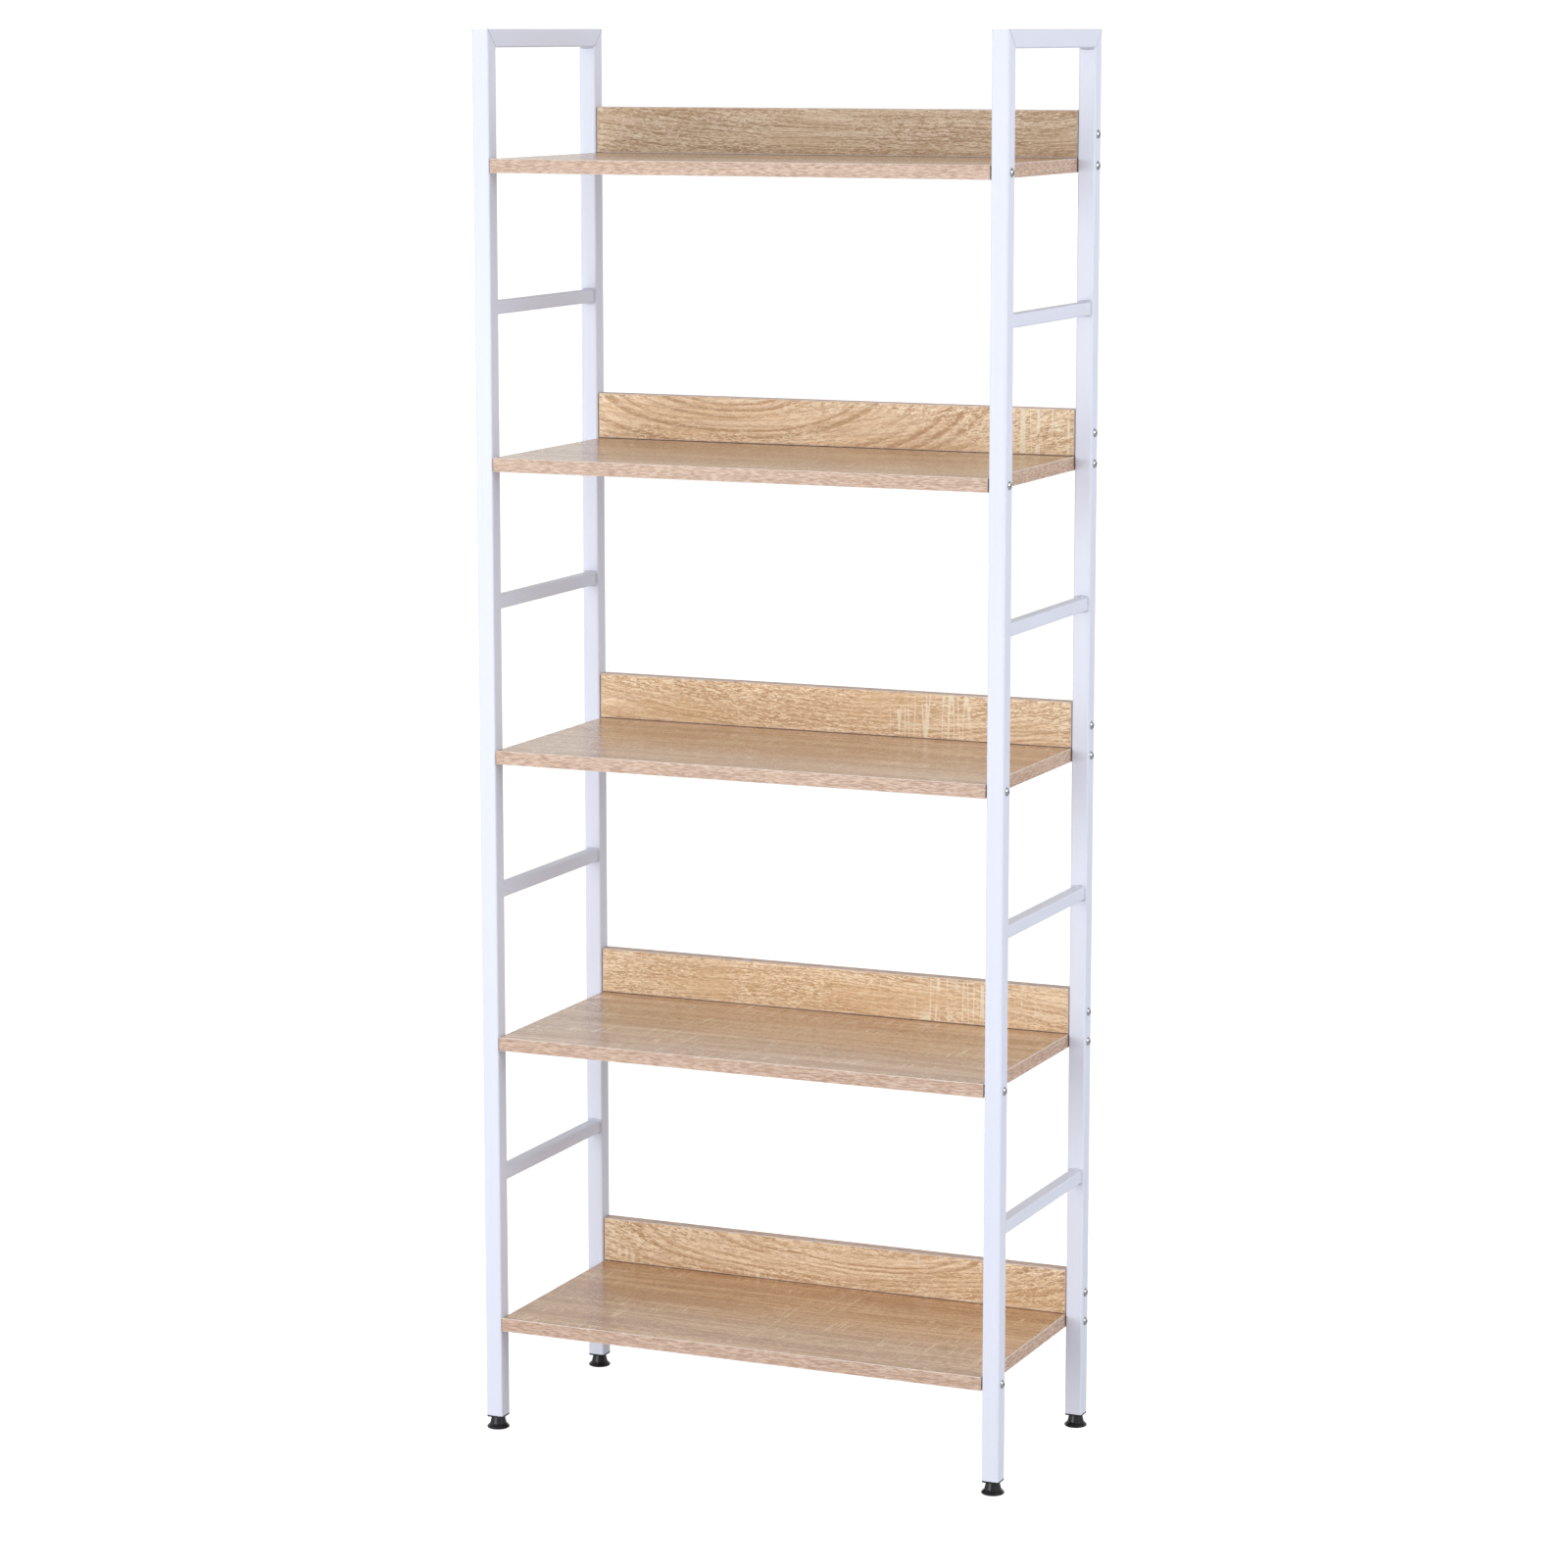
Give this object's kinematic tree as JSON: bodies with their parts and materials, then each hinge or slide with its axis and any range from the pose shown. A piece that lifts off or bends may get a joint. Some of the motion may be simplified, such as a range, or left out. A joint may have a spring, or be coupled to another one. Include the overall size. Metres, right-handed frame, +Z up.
{
  "type": "ladder shelf",
  "caption": "Free-standing ladder shelf: welded white square-tube side frames with rungs, oak-faced boards bolted between them, a low back board on each, screw-in levelling feet.",
  "frame": {"origin": "on the floor, midway between the side frames and midway between the front and rear posts", "axes": "+X to the right seen from the front, +Y to the rear, +Z up"},
  "size_m": [0.6062, 0.2822, 1.517],
  "materials": {
    "white_powder_coat": "semi-gloss white powder coat with a fine orange peel",
    "oak_decor": "satin melamine facing in a sawn light oak decor on chipboard",
    "oak_edge_band": "satin oak decor edge banding with rounded corners",
    "plated_bolt": "bright nickel plating",
    "zinc_insert": "bright zinc plating",
    "zinc_stem": "bright zinc plating on a rolled thread",
    "black_plug": "satin moulded black plastic",
    "black_foot": "glossy moulded black plastic"
  },
  "bodies": {
    "frame": {"left_front_post": "white_powder_coat", "left_rear_post": "white_powder_coat", "left_top_rail": "white_powder_coat", "left_rung_1": "white_powder_coat", "left_rung_2": "white_powder_coat", "left_rung_3": "white_powder_coat", "left_rung_4": "white_powder_coat", "right_front_post": "white_powder_coat", "right_rear_post": "white_powder_coat", "right_top_rail": "white_powder_coat", "right_rung_1": "white_powder_coat", "right_rung_2": "white_powder_coat", "right_rung_3": "white_powder_coat", "right_rung_4": "white_powder_coat", "shelf_board_1": "oak_decor", "shelf_board_2": "oak_decor", "shelf_board_3": "oak_decor", "shelf_board_4": "oak_decor", "shelf_board_5": "oak_decor", "shelf_edge_bands_1": "oak_edge_band", "shelf_edge_bands_2": "oak_edge_band", "shelf_edge_bands_3": "oak_edge_band", "shelf_edge_bands_4": "oak_edge_band", "shelf_edge_bands_5": "oak_edge_band", "back_board_1": "oak_decor", "back_board_2": "oak_decor", "back_board_3": "oak_decor", "back_board_4": "oak_decor", "back_board_5": "oak_decor", "back_edge_bands_1": "oak_edge_band", "back_edge_bands_2": "oak_edge_band", "back_edge_bands_3": "oak_edge_band", "back_edge_bands_4": "oak_edge_band", "back_edge_bands_5": "oak_edge_band", "left_shelf_bolts": "plated_bolt", "left_back_board_bolts": "plated_bolt", "left_shelf_inserts": "zinc_insert", "left_back_board_inserts": "zinc_insert", "right_shelf_bolts": "plated_bolt", "right_back_board_bolts": "plated_bolt", "right_shelf_inserts": "zinc_insert", "right_back_board_inserts": "zinc_insert", "left_front_end_plug": "black_plug", "left_front_plug_nut": "zinc_insert", "left_rear_end_plug": "black_plug", "left_rear_plug_nut": "zinc_insert", "right_front_end_plug": "black_plug", "right_front_plug_nut": "zinc_insert", "right_rear_end_plug": "black_plug", "right_rear_plug_nut": "zinc_insert"},
    "left_front_foot": {"left_front_foot_base": "black_foot"},
    "left_front_stem": {"left_front_foot_stem": "zinc_stem"},
    "left_rear_foot": {"left_rear_foot_base": "black_foot"},
    "left_rear_stem": {"left_rear_foot_stem": "zinc_stem"},
    "right_front_foot": {"right_front_foot_base": "black_foot"},
    "right_front_stem": {"right_front_foot_stem": "zinc_stem"},
    "right_rear_foot": {"right_rear_foot_base": "black_foot"},
    "right_rear_stem": {"right_rear_foot_stem": "zinc_stem"}
  },
  "joints": [
    {"name": "left_front_foot_height", "type": "slide", "parent": "frame", "child": "left_front_foot", "axis": [0, 0, -1], "range_m": [0, 0.01]},
    {"name": "left_front_stem_turn", "type": "hinge", "parent": "left_front_foot", "child": "left_front_stem", "pos_m": [-0.2905, -0.1285, 0], "axis": [0, 0, -1], "range_deg": [0, 2880]},
    {"name": "left_rear_foot_height", "type": "slide", "parent": "frame", "child": "left_rear_foot", "axis": [0, 0, -1], "range_m": [0, 0.01]},
    {"name": "left_rear_stem_turn", "type": "hinge", "parent": "left_rear_foot", "child": "left_rear_stem", "pos_m": [-0.2905, 0.1285, 0], "axis": [0, 0, -1], "range_deg": [0, 2880]},
    {"name": "right_front_foot_height", "type": "slide", "parent": "frame", "child": "right_front_foot", "axis": [0, 0, -1], "range_m": [0, 0.01]},
    {"name": "right_front_stem_turn", "type": "hinge", "parent": "right_front_foot", "child": "right_front_stem", "pos_m": [0.2905, -0.1285, 0], "axis": [0, 0, -1], "range_deg": [0, 2880]},
    {"name": "right_rear_foot_height", "type": "slide", "parent": "frame", "child": "right_rear_foot", "axis": [0, 0, -1], "range_m": [0, 0.01]},
    {"name": "right_rear_stem_turn", "type": "hinge", "parent": "right_rear_foot", "child": "right_rear_stem", "pos_m": [0.2905, 0.1285, 0], "axis": [0, 0, -1], "range_deg": [0, 2880]}
  ],
  "couplings": [
    {"joint": "left_front_foot_height", "follows": "left_front_stem_turn", "m_per_rad": 0.00019894},
    {"joint": "left_rear_foot_height", "follows": "left_rear_stem_turn", "m_per_rad": 0.00019894},
    {"joint": "right_front_foot_height", "follows": "right_front_stem_turn", "m_per_rad": 0.00019894},
    {"joint": "right_rear_foot_height", "follows": "right_rear_stem_turn", "m_per_rad": 0.00019894}
  ]
}
